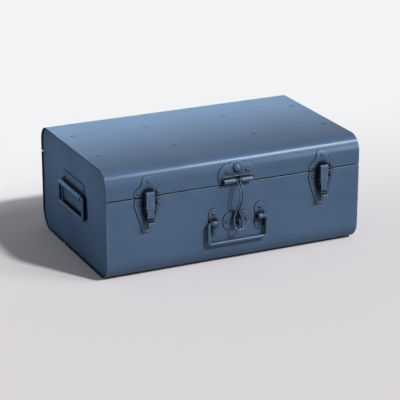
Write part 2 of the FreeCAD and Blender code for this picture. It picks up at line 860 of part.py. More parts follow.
def base_outline():
    return mirrored([
        (mm.keeper_half, SEAM - mm.base_edge_drop, mm.latch_lobe_round),
        (mm.keeper_half, SEAM - mm.base_shoulder_drop, mm.base_shoulder_round),
        (mm.base_foot_half, SEAM - mm.base_foot_drop, mm.base_foot_round),
    ])


def latch_keeper(name, side, skin):
    label = f"latch_keeper_{name}"
    across = LATCH_X * side
    plate = skin_plate(f"{label}_plate", keeper_outline(), skin, across)
    ledge = box(
        f"{label}_ledge",
        across - mm.ledge_half,
        FACE - mm.ledge_reach,
        SEAM + mm.ledge_rise,
        mm.ledge_half * 2,
        mm.ledge_reach,
        mm.latch_metal,
    )
    whole = fuse(f"{label}_whole", [plate, ledge])
    return node(drilled(f"{label}_drilled", whole, keeper_spots, GRIP), label)


def latch_pin_hole(name, base, side, up, radius):
    """The base with a hole along X at the latch's pivot line."""
    across = LATCH_X * side - mm.keeper_half
    back = FACE - mm.latch_pivot_out
    hole = rod_along_x(f"{name}_hole", radius, across, back, up, mm.keeper_half * 2)
    return cut(name, base, hole)


def latch_base(name, side):
    label = f"latch_base_{name}"
    across = LATCH_X * side
    plate = front_plate(f"{label}_plate", base_outline(), mm.plate, across)
    ears = body_named(f"{label}_ears")
    out, wide = mm.latch_pivot_out, mm.ear_round
    corners = [
        (ZERO, PIVOT_Z - wide, None),
        (ZERO, PIVOT_Z + wide, None),
        (-out - wide, PIVOT_Z + wide, wide * EAR_ROUND_SHARE),
        (-out - wide, PIVOT_Z - wide, wide * EAR_ROUND_SHARE),
    ]
    outline = trace(sketch_on(ears, "YZ_Plane", f"{label}_ear_outline"), corners)
    pad(ears, outline, mm.ear_half * 2, middle=True)
    gap = [
        (-out - wide - mm.overrun, PIVOT_Z - wide - mm.overrun, None),
        (-out - wide - mm.overrun, PIVOT_Z + wide + mm.overrun, None),
        (-mm.plate, PIVOT_Z + wide + mm.overrun, None),
        (-mm.plate, PIVOT_Z - wide - mm.overrun, None),
    ]
    between = trace(sketch_on(ears, "YZ_Plane", f"{label}_ear_gap"), gap)
    pocket(ears, between, (mm.ear_half - mm.latch_metal) * 2, middle=True)
    place(ears, across, FACE)
    whole = fuse(f"{label}_whole", [plate, ears])
    bored = latch_pin_hole(f"{label}_bored", whole, side, PIVOT_Z, mm.latch_pin + mm.pin_clear)
    return node(drilled(f"{label}_drilled", bored, base_spots, GRIP), label)


def latch_lever(name, side):
    """A channel on two pivots whose web runs down into a finger lip."""
    label = f"latch_lever_{name}"
    body = body_named(f"{label}_channel")
    half_metal = mm.latch_metal / 2
    front = -mm.latch_front + half_metal
    top = SEAM - mm.lever_top_drop
    path = trace(
        sketch_on(body, "YZ_Plane", f"{label}_path"),
        [
            (front, top, None),
            (front, SEAM - mm.lever_bend_drop, mm.lever_bend_round),
            (front + mm.lever_tuck, SEAM - mm.lever_tuck_drop, mm.lever_bend_round),
            (front - mm.lever_lip, SEAM - mm.lever_lip_drop, mm.lever_bend_round),
            (front - mm.lever_lip, SEAM - mm.lever_end_drop, None),
        ],
        closed=False,
    )
    profile = trace(
        sketch_on(body, "XY_Plane", f"{label}_profile", top),
        [
            (mm.lever_half, front + half_metal, None),
            (-mm.lever_half, front + half_metal, None),
            (-mm.lever_half, front - half_metal, None),
            (mm.lever_half, front - half_metal, None),
        ],
    )
    pipe(body, path, profile)
    back = -mm.lever_flange_back
    low = SEAM - mm.lever_flange_drop
    for hand in (-1, 1):
        lift = (mm.lever_half - half_metal) * hand
        sketch = sketch_on(body, "YZ_Plane", f"{label}_flange_{hand + 1}", lift)
        trace(
            sketch,
            [
                (front, top, None),
                (back, top, mm.ear_round),
                (back, PIVOT_Z - mm.latch_throw - mm.ear_round, mm.ear_round),
                (front, low, None),
            ],
        )
        pad(body, sketch, mm.latch_metal, middle=True)
    lever_crease(body, label)
    lever_tongue(body, label)
    place(body, LATCH_X * side, FACE)
    upper = latch_pin_hole(f"{label}_bored", body, side, PIVOT_Z, mm.latch_pin + mm.pin_clear)
    lower_z = PIVOT_Z - mm.latch_throw
    return node(latch_pin_hole(f"{label}_whole", upper, side, lower_z, mm.latch_pin + mm.pin_clear), label)


def lever_crease(body, label):
    """A shallow line pressed across the web."""
    front, up = -mm.latch_front, SEAM - mm.link_front_drop
    groove = [
        (front - mm.overrun, up, None),
        (front - mm.overrun, up - mm.crease_high, None),
        (front + mm.crease_deep, up - mm.crease_high, None),
        (front + mm.crease_deep, up, None),
    ]
    line = trace(sketch_on(body, "YZ_Plane", f"{label}_crease"), groove)
    pocket(body, line, mm.lever_half * 2 + mm.overrun, middle=True)


def lever_tongue(body, label):
    """Rounds off the end of the finger lip."""
    sketch = sketch_on(body, "XZ_Plane", f"{label}_tongue")
    wide, top = mm.lever_half + mm.overrun, SEAM + mm.overrun
    for beyond, end_round in ((mm.overrun, None), (ZERO, mm.lip_end_round)):
        low = SEAM - mm.lever_end_drop - beyond
        trace(sketch, mirrored([(wide + beyond, top + beyond, None), (wide + beyond, low, end_round)]))
    pocket(body, sketch, (mm.latch_front + mm.lever_lip + mm.overrun) * 2, middle=True)


def hook_prism(name, wide):
    """A block whose sides lean out towards the plate, as wide in front as asked."""
    body = body_named(name)
    front = -mm.latch_front
    low, high = SEAM - mm.link_drop - mm.overrun, LID_EDGE + mm.link_rise + mm.overrun
    outline = mirrored([
        (wide, front - mm.overrun, None),
        (wide, front, None),
        (wide + mm.link_splay, ZERO, None),
    ])
    pad(body, trace(sketch_on(body, "XY_Plane", f"{name}_outline", low), outline), high - low)
    return body


def latch_link(name, side):
    """The draw hook: two splayed side flanges under a web that curls over the keeper."""
    label = f"latch_link_{name}"
    inner = mm.lever_half + mm.latch_side_gap
    outer = inner + mm.latch_metal
    whole_width = (outer + mm.link_splay + mm.overrun) * 2
    front, back = -mm.latch_front, -mm.link_back
    top, low = LID_EDGE + mm.link_rise, SEAM - mm.link_drop
    side_view = [
        (front, SEAM - mm.link_front_drop, mm.link_foot_round),
        (-mm.link_foot_out, low, mm.link_foot_round),
        (back, low, mm.link_foot_round),
        (back, top, mm.link_top_round),
        (front, top, mm.link_top_round),
    ]
    solid = body_named(f"{label}_solid")
    pad(solid, trace(sketch_on(solid, "YZ_Plane", f"{label}_side"), side_view), whole_width, middle=True)
    web = front + mm.latch_metal
    under = top - mm.latch_metal
    web_low = SEAM - mm.link_web_drop
    hollow = [
        (front - mm.overrun, low - mm.overrun, None),
        (ZERO, low - mm.overrun, None),
        (ZERO, top + mm.overrun, None),
        (-mm.link_curl, top + mm.overrun, None),
        (-mm.link_curl, under, None),
        (web, under, mm.link_top_round - mm.latch_metal),
        (web, web_low, None),
        (front - mm.overrun, web_low, None),
    ]
    void = body_named(f"{label}_void")
    pad(void, trace(sketch_on(void, "YZ_Plane", f"{label}_inside"), hollow), whole_width, middle=True)
    shell = common(f"{label}_shell", solid, hook_prism(f"{label}_outer", outer))
    core = common(f"{label}_core", void, hook_prism(f"{label}_inner", inner))
    put = moved(f"{label}_put", cut(f"{label}_channel", shell, core), LATCH_X * side, FACE)
    lower_z = PIVOT_Z - mm.latch_throw
    return node(latch_pin_hole(f"{label}_whole", put, side, lower_z, mm.latch_pin + mm.pin_clear), label)


def latch_pins(name, side):
    across = LATCH_X * side
    back = FACE - mm.latch_pivot_out
    half = mm.lever_half
    pivot = rod_along_x(f"pivot_{name}", mm.latch_pin, across - half, back, PIVOT_Z, half * 2)
    node(pivot, f"latch_pivot_pin_{name}")
    half = mm.lever_half + mm.latch_side_gap * 2 + mm.latch_metal + mm.link_splay * HOOK_HEAD_SHARE
    lower_z = PIVOT_Z - mm.latch_throw
    rod = rod_along_x(f"throw_{name}", mm.latch_pin, across - half, back, lower_z, half * 2)
    thick = mm.latch_pin_head_thick
    heads = [
        rod_along_x(f"throw_head_{name}_{i}", mm.latch_pin_head, start, back, lower_z, thick)
        for i, start in enumerate((across - half - thick, across + half))
    ]
    node(fuse(f"throw_{name}_whole", [rod] + heads), f"latch_link_pin_{name}")


def latches(skin):
    for name, side in SIDES:
        latch_keeper(name, side, skin)
        latch_base(name, side)
        latch_lever(name, side)
        latch_link(name, side)
        latch_pins(name, side)
    rivets("latch_keeper_rivets", keeper_spots, GRIP, sag=TAIL_SAG)
    rivets("latch_base_rivets", base_spots, GRIP)


# Bent wire

def wire_path(points, bends):
    """A run of lines with an arc of the given radius at each inner point."""
    edges = []
    here = points[0]
    for before, corner, after, bend in zip(points, points[1:], points[2:], bends):
        enter, leave, centre, turn = corner_arc(before, corner, after, bend)
        edges.append(Part.makeLine(here, enter))
        inward = (corner - centre).normalize()
        edges.append(Part.Arc(enter, centre + inward * bend, leave).toShape())
        here = leave
    edges.append(Part.makeLine(here, points[-1]))
    return Part.Wire(edges)


def wire_solid(path, radius):
    """A round wire along a path of lines and arcs."""
    first = path.OrderedEdges[0]
    start = first.valueAt(first.FirstParameter)
    along = first.tangentAt(first.FirstParameter)
    profile = Part.Wire(Part.makeCircle(radius, start, along))
    return path.makePipeShell([profile], True, False)


# Hasp

def hasp_plate(skin):
    edge = LID_EDGE + mm.hasp_edge_rise
    outline = mirrored([
        (mm.hasp_bump_top_half, SEAM + mm.hasp_bump_rise, mm.hasp_bump_round),
        (mm.hasp_bump_half, SEAM + mm.hasp_shoulder_rise, mm.hasp_bump_round * BUMP_FOOT_SHARE),
        (mm.hasp_half, SEAM + mm.hasp_shoulder_rise, mm.hasp_shoulder_round),
        (mm.hasp_half, edge, mm.hasp_foot_round),
        (mm.hasp_gap_half, edge, None),
        (mm.hasp_gap_half, LID_EDGE + mm.hasp_notch_rise, mm.rim_round),
    ])
    plate = skin_plate("hasp_leaf", outline, skin)
    axis_z = SEAM + mm.hasp_axis_rise
    axis_y = FACE - mm.hasp_axis_out
    long = mm.hasp_barrel_half - mm.hasp_gap_half
    barrels = [
        rod_along_x(f"hasp_barrel_{i}", mm.hasp_barrel, start, axis_y, axis_z, long)
        for i, start in enumerate((-mm.hasp_barrel_half, mm.hasp_gap_half))
    ]
    start = -mm.hasp_barrel_half - mm.overrun
    long = (mm.hasp_barrel_half + mm.overrun) * 2
    bore = rod_along_x("hasp_bore", mm.hasp_pin + mm.pin_clear, start, axis_y, axis_z, long)
    rolled = fuse("hasp_leaf_rolled", [plate, hasp_fold()] + barrels)
    whole = cut("hasp_leaf_bored", rolled, bore)
    node(drilled("hasp_leaf_drilled", whole, hasp_spots + dome_spots, GRIP), "hasp_plate")
    pin = rod_along_x("hasp_rod", mm.hasp_pin, -mm.hasp_barrel_half, axis_y, axis_z, mm.hasp_barrel_half * 2)
    node(pin, "hasp_pin")
    rivets("hasp_plate_rivets", hasp_spots, GRIP, sag=TAIL_SAG)
    dome = {"head": mm.hasp_dome, "rise": mm.hasp_dome_rise}
    rivets("hasp_dome_rivet", dome_spots, GRIP, sag=TAIL_SAG, **dome)


def hasp_fold():
    """The tail of the rolled sheet, flat on the plate above the barrel and cut out for the wire."""
    body = body_named("hasp_fold")
    low, top = SEAM + mm.hasp_axis_rise, SEAM + mm.hasp_fold_rise
    out = mm.plate + mm.hasp_fold_thick
    corners = [(ZERO, low, None), (-out, low, None), (-out, top, mm.hasp_fold_round), (ZERO, top, None)]
    section = trace(sketch_on(body, "YZ_Plane", "hasp_fold_section"), corners)
    pad(body, section, mm.hasp_fold_half * 2, middle=True)
    place(body, back=FACE)
    notch = box(
        "hasp_fold_notch",
        -mm.hasp_gap_half,
        FACE - out - mm.overrun,
        low - mm.overrun,
        mm.hasp_gap_half * 2,
        out + mm.overrun * 2,
        LID_EDGE + mm.hasp_notch_rise - low + mm.overrun,
    )
    return cut("hasp_fold_cut", body, notch)


def hasp_wire():
    """Two strands hung on the pin that bow out, cross in and open into an eye."""
    axis_z = (SEAM + mm.hasp_axis_rise).value
    axis_y = (FACE - mm.hasp_axis_out).value
    wire = mm.wire.value
    loop = (mm.hasp_pin + mm.wire_eye_clear + mm.wire).value
    strand, eye = mm.strand_half.value, mm.eye_half.value

    def at(across, out, drop):
        return FreeCAD.Vector(across, FACE.value - out.value, axis_z - drop.value)

    run = [
        FreeCAD.Vector(strand, axis_y - loop, axis_z),
        at(strand, mm.hasp_axis_out + mm.hasp_pin + mm.wire_eye_clear + mm.wire, mm.bow_start_drop),
        at(strand, mm.bow_reach, mm.bow_out_drop),
        at(strand, mm.bow_reach, mm.bow_back_drop),
        at(strand, mm.cross_out, mm.cross_drop),
        at(eye, mm.eye_top_out, mm.eye_top_drop),
        at(eye, mm.eye_low_out, mm.eye_low_drop),
        at(eye, mm.eye_tip_out, mm.eye_tip_drop),
        at(0, mm.eye_tip_out, mm.eye_tip_drop),
    ]
    bends = [mm.bow_start_bend, mm.bow_top_bend, mm.bow_low_bend, mm.cross_bend]
    bends += [mm.eye_bend, mm.eye_bend, mm.eye_tip_bend]
    bends = [bend.value for bend in bends]
    half = wire_solid(wire_path(run, bends), wire)
    ring_at = FreeCAD.Vector(strand, axis_y, axis_z)
    hoop = Part.makeTorus(loop, wire, ring_at, FreeCAD.Vector(1, 0, 0))
    whole = half.fuse(hoop)
    other = whole.mirror(FreeCAD.Vector(), FreeCAD.Vector(1, 0, 0))
    return node(made("hasp_loop", whole.fuse(other).removeSplitter()), "hasp_wire")


def staple():
    high = mm.staple_plate_high / 2
    outline = mirrored([
        (mm.staple_plate_half, STAPLE_Z + high, mm.staple_plate_round),
        (mm.staple_plate_half, STAPLE_Z - high, mm.staple_plate_round),
    ])
    plate = front_plate("staple_blank", outline, mm.plate)
    node(drilled("staple_plate_drilled", plate, staple_spots, GRIP), "staple_plate")
    rivets("staple_rivets", staple_spots, GRIP)
    body = body_named("staple_wire")
    half, out = mm.staple_half, mm.staple_reach - mm.staple_wire
    corners = [
        (-mm.plate, STAPLE_Z + half, None),
        (-out, STAPLE_Z + half, mm.staple_bend),
        (-out, STAPLE_Z - half, mm.staple_bend),
        (-mm.plate, STAPLE_Z - half, None),
    ]
    path = trace(sketch_on(body, "YZ_Plane", "staple_path"), corners, closed=False)
    sketch = sketch_on(body, "XZ_Plane", "staple_profile", mm.plate)
    profile = ring(sketch, ZERO, STAPLE_Z + half, mm.staple_wire)
    pipe(body, path, profile)
    place(body, back=FACE)
    return node(body, "staple")


# Bail handles

def bail(name, half, drop, start, up):
    """A rod bent to a U, with its ends turned in along the pivot line."""
    body = body_named(name)
    corners = [
        (start, up, None),
        (half, up, mm.bail_shoulder),
        (half, up - drop, mm.bail_bend),
        (-half, up - drop, mm.bail_bend),
        (-half, up, mm.bail_shoulder),
        (-start, up, None),
    ]
    path = trace(sketch_on(body, "XZ_Plane", f"{name}_path"), corners, closed=False)
    profile = ring(sketch_on(body, "YZ_Plane", f"{name}_profile", start), ZERO, up, mm.rod)
    pipe(body, path, profile)
    return body


def ribbed_tube(name, half, up):
    """A short tube with a barrel in its middle and a rounded rib at each end."""
    back = -mm.handle_axis_out
    core = rod_along_x(f"{name}_core", mm.strap_groove, -half, back, up, half * 2)
    wide = mm.strap_barrel_half
    barrel = rod_along_x(f"{name}_barrel", mm.strap_barrel, -wide, back, up, wide * 2)
    pieces = [core, barrel]
    for hand in (-1, 1):
        rib = doc.addObject("Part::Torus", f"{name}_rib_{hand + 1}")
        bind(rib, Radius1=mm.strap_rib_reach, Radius2=mm.strap_rib)
        across = (half - mm.strap_rib) * hand
        pieces.append(place(rib, across, back, up, (FreeCAD.Vector(0, 1, 0), 90)))
    return fuse(f"{name}_ribs", pieces)


def plain_tube(name, half, up):
    return rod_along_x(f"{name}_tube", mm.handle_tube, -half, -mm.handle_axis_out, up, half * 2)


def saddle(name, half, up, tube):
    """A strap over the pivot line: a tube on a low block."""
    block = box(
        f"{name}_block",
        -half,
        -mm.handle_axis_out,
        up - mm.handle_saddle,
        half * 2,
        mm.handle_axis_out,
        mm.handle_saddle * 2,
    )
    return fuse(f"{name}_strap", [tube(name, half, up), block])


def pivot_bore(name, half, up):
    start = -half - mm.overrun
    long = (half + mm.overrun) * 2
    return rod_along_x(f"{name}_bore", mm.rod + mm.rod_clear, start, -mm.handle_axis_out, up, long)


def handle_plate(name, outline, half, up, tube):
    """A flat plate with a strap across it, bored for the bail."""
    body = body_named(f"{name}_blank")
    pad(body, trace(sketch_on(body, "XZ_Plane", f"{name}_outline"), outline), mm.plate)
    whole = fuse(f"{name}_pressed", [body, saddle(name, half, up, tube)])
    return cut(f"{name}_bored", whole, pivot_bore(name, half, up))


def moved(name, thing, across, back, turn=None):
    """A placed copy of a finished form."""
    link = doc.addObject("Part::Compound", name)
    link.Links = [thing]
    return place(link, across, back, ZERO, turn)


def front_handle():
    high = mm.bracket_high / 2
    outline = mirrored([
        (mm.bracket_half, HANDLE_Z + high, mm.bracket_round),
        (mm.bracket_half, HANDLE_Z - high, mm.bracket_round),
    ])
    bracket = handle_plate("front_bracket", outline, mm.bracket_strap_half, HANDLE_Z, ribbed_tube)
    for name, side in SIDES:
        label = f"front_handle_bracket_{name}"
        put = moved(f"{label}_put", bracket, mm.bracket_x * side, FACE)
        node(drilled(f"{label}_drilled", put, bracket_spots, GRIP), label)
    start = mm.bracket_x - mm.bracket_strap_half
    rod = bail("front_bail", mm.front_bail_half, mm.front_bail_drop, start, HANDLE_Z)
    node(place(rod, back=FACE - mm.handle_axis_out), "front_handle_bail")
    rivets("front_handle_rivets", bracket_spots, GRIP)


def end_handles():
    top = SEAM - mm.end_plate_top_drop
    outline = mirrored([
        (mm.end_plate_half, top, mm.end_plate_round),
        (mm.end_plate_half, top - mm.end_plate_high, mm.end_plate_foot_round),
    ])
    plate = handle_plate("end_plate", outline, mm.end_tube_half, END_AXIS_Z, plain_tube)
    face = HALF_LENGTH - mm.panel_inset
    for name, side in SIDES:
        turn = (FreeCAD.Vector(0, 0, 1), 90 * side)
        put = moved(f"end_plate_{name}_put", plate, face * side, ZERO, turn)
        node(drilled(f"end_plate_{name}_drilled", put, end_spots[name], GRIP), f"side_handle_plate_{name}")
        rod = bail(f"end_bail_{name}", mm.end_bail_half, mm.end_bail_drop, mm.end_bail_in, END_AXIS_Z)
        out = face + mm.handle_axis_out
        node(place(rod, out * side, ZERO, ZERO, turn), f"side_handle_bail_{name}")
    rivets("side_handle_rivets", end_spots["left"] + end_spots["right"], GRIP)


# The whole trunk

def check_and_write():
    """Writes each sub-part once every object is sound."""
    doc.recompute()
    for thing in doc.Objects:
        if "Invalid" in thing.State or "Error" in thing.State:
            raise ValueError(f"{thing.Name} failed: {thing.State}")
    for label, thing in nodes.items():
        if thing.Shape.isNull() or not thing.Shape.isValid() or thing.Shape.Volume <= 0:
            raise ValueError(f"{label} has no sound shape")
    os.makedirs("parts", exist_ok=True)
    for label, thing in nodes.items():
        thing.Shape.exportStep(os.path.join("parts", f"{label}.step"))
        print(label, len(thing.Shape.Solids), round(thing.Shape.Volume, 1))


body_wrapper()
lid_wrapper()
lid_stiffener("lid_stiffener_front", -1)
lid_stiffener("lid_stiffener_back", 1)
end_panels()
rim_lip()
hinges()
skin = lid_skin()
latches(skin)
hasp_plate(skin)
hasp_wire()
staple()
front_handle()
end_handles()
check_and_write()
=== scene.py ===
import math
import bpy
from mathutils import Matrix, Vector


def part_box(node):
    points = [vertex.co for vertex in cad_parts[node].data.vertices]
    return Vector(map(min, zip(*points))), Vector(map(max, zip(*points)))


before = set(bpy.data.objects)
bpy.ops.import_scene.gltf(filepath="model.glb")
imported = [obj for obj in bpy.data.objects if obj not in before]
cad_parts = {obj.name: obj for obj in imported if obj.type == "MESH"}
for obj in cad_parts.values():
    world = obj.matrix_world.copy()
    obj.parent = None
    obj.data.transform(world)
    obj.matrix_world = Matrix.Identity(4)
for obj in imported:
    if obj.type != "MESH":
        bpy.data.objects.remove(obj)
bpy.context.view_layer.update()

scene = bpy.context.scene
scene.view_settings.view_transform = "Standard"

# Colours of the trunk and the floor, in linear values
PAINT = (0.0560, 0.0940, 0.1590)
# painted light: the same paint made lighter for the ends and their hardware, which lie in shade
PAINT_ENDS_LIGHTENED = (0.0620, 0.1090, 0.1860)
PAINT_INSIDE = (0.0520, 0.0870, 0.1480)
# worn paint and a painted highlight: the light colour laid along edges
PAINT_WORN_AND_HIGHLIT = (0.240, 0.320, 0.440)
# painted shade: near black, laid in corners, under and beside plates, along the lid's seam and on the
# sheet's cut ends
PAINTED_SHADE = (0.006, 0.010, 0.017)
FLOOR = (0.670, 0.642, 0.652)
# painted light: the floor's paler colour towards the back
FLOOR_FAR_LIGHTENED = (0.860, 0.858, 0.866)

# Colours of the light
WHITE = (1.0, 1.0, 1.0)
CARD_BLUE = (0.66, 0.84, 1.0)
EDGE_BLUE = (0.66, 0.80, 1.0)
STRIP_WARM = (1.0, 0.93, 0.84)
AMBIENT = (0.93, 0.96, 1.0)
BACKGROUND = (0.92, 0.92, 0.92)
AMBIENT_STRENGTH = 0.27

# Noise in the paint: features per metre and detail
DRIFT_NOISE = (9.0, 4.0)
LINE_NOISE = (120.0, 4.0)
RUB_AND_HIGHLIGHT_NOISE = (60.0, 3.0)
SMEAR_NOISE = (25.0, 5.0)
PEEL_NOISE = (700.0, 2.0)
WAVE_NOISE = (7.0, 1.0)

# Part of each noise's range that is used
DRIFT_RANGE = (0.3, 0.7)
RUB_AND_HIGHLIGHT_RANGE = (0.4, 0.7)
SMEAR_RANGE = (0.25, 0.75)

# How strongly the paint varies, as shares, and the orange peel's depth in metres
COLOUR_DRIFT = 0.07
ROUGHNESS_DRIFT = 0.05
LEAST_RUB_AND_HIGHLIGHT = 0.4
LINE_SQUASH = 0.05
PEEL_DEPTH, PEEL_STRENGTH = 0.00006, 0.25
EASED_EDGE = 0.4
COAT_ROUGHNESS = 0.27

# Heights of the lid's lower edge and top, and the band of painted shade above that edge, in metres
LID_LOW, LID_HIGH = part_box("lid_wrapper")
LID_EDGE, LID_TOP = LID_LOW.z, LID_HIGH.z
SEAM_SHADE_FROM, SEAM_SHADE_TO = 0.0006, 0.0018

# Pressed spots over the lid's stiffeners, in metres: they repeat left and right, front and back
STIFFENER_LOW, STIFFENER_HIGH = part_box("lid_stiffener_back")
SPOT_INNER, SPOT_FROM_END = 0.080, 0.024
SPOTS_X = (SPOT_INNER, LID_HIGH.x - SPOT_FROM_END)
SPOTS_Y = (STIFFENER_LOW.y + STIFFENER_HIGH.y) / 2
# Hollows round each spot: squash along X, radius in metres, depth as a multiple of the bump's
HOLLOWS = ((1.0, 0.060, 1.0), (1.0, 0.008, 3.4), (0.22, 0.0065, 0.9))

# Floor: half its width, where painted light makes it paler towards the back, and its grain's depth, in
# metres
FLOOR_REACH = 14.0
PALER_FROM, PALER_TO = -0.25, 0.65
GRAIN_NOISE = (300.0, 3.0)
GRAIN_DEPTH, GRAIN_STRENGTH = 0.0004, 0.3
FLOOR_ROUGHNESS, FLOOR_SPECULAR = 0.85, 0.1

# Camera of the photograph, in metres and degrees
AZIMUTH, ELEVATION = -25.138, 19.894
DISTANCE = 3.2793
TARGET = (0.0033, 0.0, 0.06435)
FOCAL_PIXELS, FRAME_PIXELS, SENSOR = 1752.4, 400, 36.0
FURTHEST_SEEN = 100.0


# Shader helpers

def new_material(name):
    """A material with its nodes, its links and its main shader."""
    material = bpy.data.materials.new(name)
    material.use_nodes = True
    nodes, links = material.node_tree.nodes, material.node_tree.links
    return material, nodes, links, nodes["Principled BSDF"]


def add_node(nodes, kind, **settings):
    """A shader node with its properties and inputs set by name."""
    made = nodes.new(kind)
    for name, value in settings.items():
        if name in made.inputs:
            made.inputs[name].default_value = value
        else:
            setattr(made, name, value)
    return made


def noise(nodes, links, source, kind):
    """Noise of one kind, given as its scale and its detail."""
    scale, detail = kind
    made = add_node(nodes, "ShaderNodeTexNoise", Scale=scale, Detail=detail)
    links.new(source, made.inputs["Vector"])
    return made.outputs["Fac"]


def math_node(nodes, links, operation, first, second=None):
    """One sum on one or two values, each a number or a socket."""
    made = add_node(nodes, "ShaderNodeMath", operation=operation)
    for slot, value in enumerate((first, second)):
        if value is None:
            continue
        if isinstance(value, (int, float)):
            made.inputs[slot].default_value = value
        else:
            links.new(value, made.inputs[slot])
    return made.outputs[0]


def vector_node(nodes, links, operation, first, second=None):
    """One sum on one or two vectors: the first is a socket, the second a socket or a tuple."""
    made = add_node(nodes, "ShaderNodeVectorMath", operation=operation)
    links.new(first, made.inputs[0])
    if isinstance(second, tuple):
        made.inputs[1].default_value = second
    elif second is not None:
        links.new(second, made.inputs[1])
    return made


def axis(nodes, links, vector, name):
    """One coordinate of a vector."""
    made = add_node(nodes, "ShaderNodeSeparateXYZ")
    links.new(vector, made.inputs["Vector"])
    return made.outputs[name]


def spread(nodes, links, value, low, high, to_low=0.0, to_high=1.0):
    """A value stretched from one range to another, held at its ends."""
    made = add_node(nodes, "ShaderNodeMapRange", interpolation_type="SMOOTHSTEP")
    made.inputs["From Min"].default_value = low
    made.inputs["From Max"].default_value = high
    made.inputs["To Min"].default_value = to_low
    made.inputs["To Max"].default_value = to_high
    links.new(value, made.inputs["Value"])
    return made.outputs["Result"]


def mix_colour(nodes, links, share, first, second):
    """The first colour where the share is zero and the second where it is one."""
    made = add_node(nodes, "ShaderNodeMix", data_type="RGBA")
    links.new(share, made.inputs["Factor"])
    for name, colour in (("A", first), ("B", second)):
        socket = [s for s in made.inputs if s.name == name and s.type == "RGBA"][0]
        if isinstance(colour, tuple):
            socket.default_value = colour + (1.0,)
        else:
            links.new(colour, socket)
    return [s for s in made.outputs if s.type == "RGBA"][0]


def bump(nodes, links, height, distance, strength=1.0, under=None):
    """The surface's direction tilted by a height, on top of a direction that is already tilted."""
    made = add_node(nodes, "ShaderNodeBump", Strength=strength, Distance=distance)
    links.new(height, made.inputs["Height"])
    if under is not None:
        links.new(under, made.inputs["Normal"])
    return made.outputs["Normal"]


def rounded_normal(nodes, radius):
    """The surface's direction with its edges eased over a small radius."""
    return add_node(nodes, "ShaderNodeBevel", samples=6, Radius=radius).outputs["Normal"]


def squashed(nodes, links, place, share):
    """Coordinates shrunk along X, which draws what follows them out along the trunk's length."""
    return vector_node(nodes, links, "MULTIPLY", place, (share, 1.0, 1.0)).outputs["Vector"]


# Where paint is rubbed and given a painted highlight, painted with shade, or dented

def edge_share(nodes, links, radius):
    """How far the surface turns within a small radius: one at edges, zero on flats."""
    least_turn, full_turn = 0.02, 0.16
    eased = rounded_normal(nodes, radius)
    shape = add_node(nodes, "ShaderNodeNewGeometry")
    alike = vector_node(nodes, links, "DOT_PRODUCT", eased, shape.outputs["Normal"])
    turn = math_node(nodes, links, "SUBTRACT", 1.0, alike.outputs["Value"])
    return spread(nodes, links, turn, least_turn, full_turn)


def open_share(nodes, links, reach, closed):
    """How open the surface lies: zero deep in a corner or under a plate, one on a bare flat; it sets where
    painted shade falls.
    """
    fully_open = 0.97
    around = add_node(nodes, "ShaderNodeAmbientOcclusion", samples=8, Distance=reach)
    return spread(nodes, links, around.outputs["AO"], closed, fully_open)


def above_share(nodes, links, place, height):
    """Zero in a thin band along a level edge, where shade is painted, and one above it."""
    level = axis(nodes, links, place, "Z")
    return spread(nodes, links, level, height + SEAM_SHADE_FROM, height + SEAM_SHADE_TO)


def uncut_share(nodes, links):
    """Zero on the sheet's cut ends, which face along X, and one on its bent faces: the cut ends take
    painted shade.
    """
    bent, cut = 0.5, 0.9
    shape = add_node(nodes, "ShaderNodeNewGeometry")
    along = math_node(nodes, links, "ABSOLUTE", axis(nodes, links, shape.outputs["True Normal"], "X"))
    return spread(nodes, links, along, bent, cut, 1.0, 0.0)


def pressed_wells(nodes, links, place):
    """Soft hollows of the lid's top round its eight pressed spots."""
    mirrored = vector_node(nodes, links, "ABSOLUTE", place).outputs["Vector"]
    total = None
    for across in SPOTS_X:
        centre = (across, SPOTS_Y, LID_TOP)
        offset = vector_node(nodes, links, "SUBTRACT", mirrored, centre).outputs["Vector"]
        for squash, radius, depth in HOLLOWS:
            away = vector_node(nodes, links, "LENGTH", squashed(nodes, links, offset, squash))
            well = spread(nodes, links, away.outputs["Value"], 0.0, radius, -depth, 0.0)
            total = well if total is None else math_node(nodes, links, "ADD", total, well)
    return total


# Painted sheet metal

def body_colour(nodes, links, place, colour, rolled):
    """Paint that drifts slowly in colour, with faint lines along the sheet where it is rolled."""
    drift = noise(nodes, links, place, DRIFT_NOISE)
    if rolled:
        lines = noise(nodes, links, squashed(nodes, links, place, LINE_SQUASH), LINE_NOISE)
        lines = math_node(nodes, links, "MULTIPLY", lines, rolled)
        drift = math_node(nodes, links, "MULTIPLY", drift, 1.0 - rolled)
        drift = math_node(nodes, links, "ADD", drift, lines)
    darker = tuple(c * (1.0 - COLOUR_DRIFT) for c in colour)
    lighter = tuple(c * (1.0 + COLOUR_DRIFT) for c in colour)
    return mix_colour(nodes, links, spread(nodes, links, drift, *DRIFT_RANGE), darker, lighter)


def relief(nodes, links, place, edge, wave, wells):
    """Eased edges under a faint orange peel, the sheet's slow wave and the hollows round pressed spots."""
    peel = noise(nodes, links, place, PEEL_NOISE)
    eased = rounded_normal(nodes, EASED_EDGE * edge)
    last = bump(nodes, links, peel, PEEL_DEPTH, PEEL_STRENGTH, eased)
    if wave:
        slow = noise(nodes, links, place, WAVE_NOISE)
        last = bump(nodes, links, slow, wave, under=last)
    if wells:
        last = bump(nodes, links, pressed_wells(nodes, links, place), wells, under=last)
    return last


